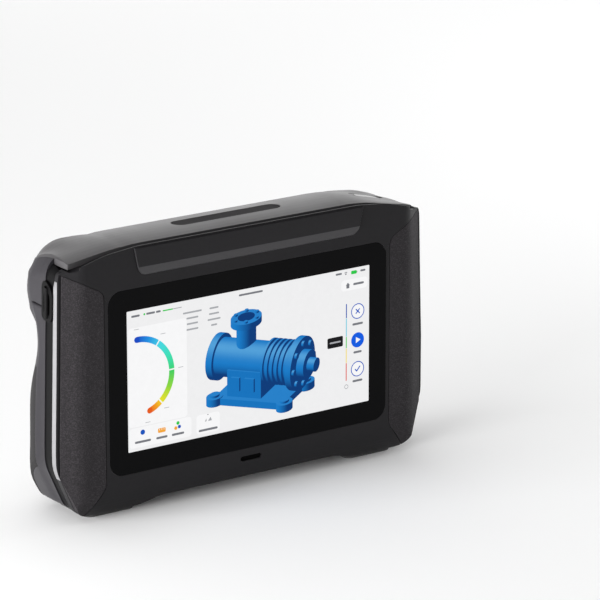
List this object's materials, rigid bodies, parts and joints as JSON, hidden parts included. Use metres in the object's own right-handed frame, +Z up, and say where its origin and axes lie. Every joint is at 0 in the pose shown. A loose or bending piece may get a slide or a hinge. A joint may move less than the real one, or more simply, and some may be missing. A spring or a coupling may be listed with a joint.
{
  "type": "handheld three-d scanner",
  "caption": "Handheld 3-D scanner: a screen body with moulded hand grips at both sides and a toed-in stereo camera bar across the top of its back.",
  "frame": {"origin": "below the middle of the body, on the surface that the feet stand on", "axes": "+Z up, +X to the right of a person facing the screen, the screen faces -Y and the cameras face +Y"},
  "size_m": [0.2082, 0.0544, 0.1296],
  "materials": {
    "shell": "fine satin moulded plastic",
    "rear_shell": "fine satin moulded plastic",
    "top_shell": "satin moulded plastic",
    "frame": "dark moulded plastic",
    "mesh_trim": "fine black mesh",
    "grip": "speckled soft grip",
    "rubber": "matt moulded rubber",
    "foot_rubber": "matt rubber foot",
    "dark_glass": "black bordered cover glass",
    "foam": "adhesive foam",
    "display": "display module",
    "inner_plastic": "black engineering plastic",
    "button": "satin key",
    "light": "clear light pipe",
    "window": "polished black window",
    "gloss": "polished black shell",
    "barrel": "black anodised barrel",
    "lens": "coated lens",
    "lamp": "phosphor lamp chip",
    "bench": "machined aluminium",
    "board": "circuit board",
    "cell": "sleeved cell",
    "screw": "steel",
    "brass": "turned brass",
    "trim": "satin trim strip"
  },
  "bodies": {
    "body": {"front_bezel": "shell", "brow_trim": "shell", "camera_housing": "shell", "rear_cover": "rear_shell", "air_grille": "rear_shell", "mid_frame": "frame", "top_cover": "top_shell", "top_inlay": "mesh_trim", "front_grip_left": "grip", "front_grip_right": "grip", "rear_grip_left": "rubber", "rear_grip_right": "rubber", "foot_left": "foot_rubber", "foot_right": "foot_rubber", "cover_glass": "dark_glass", "glass_gasket": "foam", "display_panel": "display", "speaker_mesh": "mesh_trim", "speaker": "inner_plastic", "button_switch": "inner_plastic", "status_light": "light", "centre_plate": "frame", "centre_window": "window", "pod_shell_left": "gloss", "pod_shell_right": "gloss", "pod_window_left": "window", "pod_window_right": "window", "lens_barrel_left": "barrel", "lens_barrel_right": "barrel", "main_lens_left": "lens", "main_lens_right": "lens", "side_lens_left": "lens", "side_lens_right": "lens", "ring_lamps_left": "lamp", "ring_lamps_right": "lamp", "fill_lamps_left": "lens", "fill_lamps_right": "lens", "texture_camera": "lens", "pattern_projectors": "lens", "laser_emitters": "lens", "optical_bench": "bench", "fan_housing": "inner_plastic", "main_board": "board", "heat_sink": "bench", "battery_left": "cell", "battery_right": "cell", "chassis_screws": "screw", "strap_lug": "frame", "side_cap": "frame", "charging_port": "screw", "tripod_bush": "brass", "side_trim_left": "trim", "side_trim_right": "trim"},
    "button": {"power_button": "button"},
    "rotor": {"fan_rotor": "inner_plastic"}
  },
  "joints": [
    {"name": "power_press", "type": "slide", "parent": "body", "child": "button", "axis": [-0.2321, 0, -0.9727], "range_m": [0, 0.0008], "stiffness_N_per_m": 1200},
    {"name": "fan_spin", "type": "hinge", "parent": "body", "child": "rotor", "pos_m": [0, 0.00383, 0.03922], "axis": [0, 1, 0], "continuous": true}
  ]
}
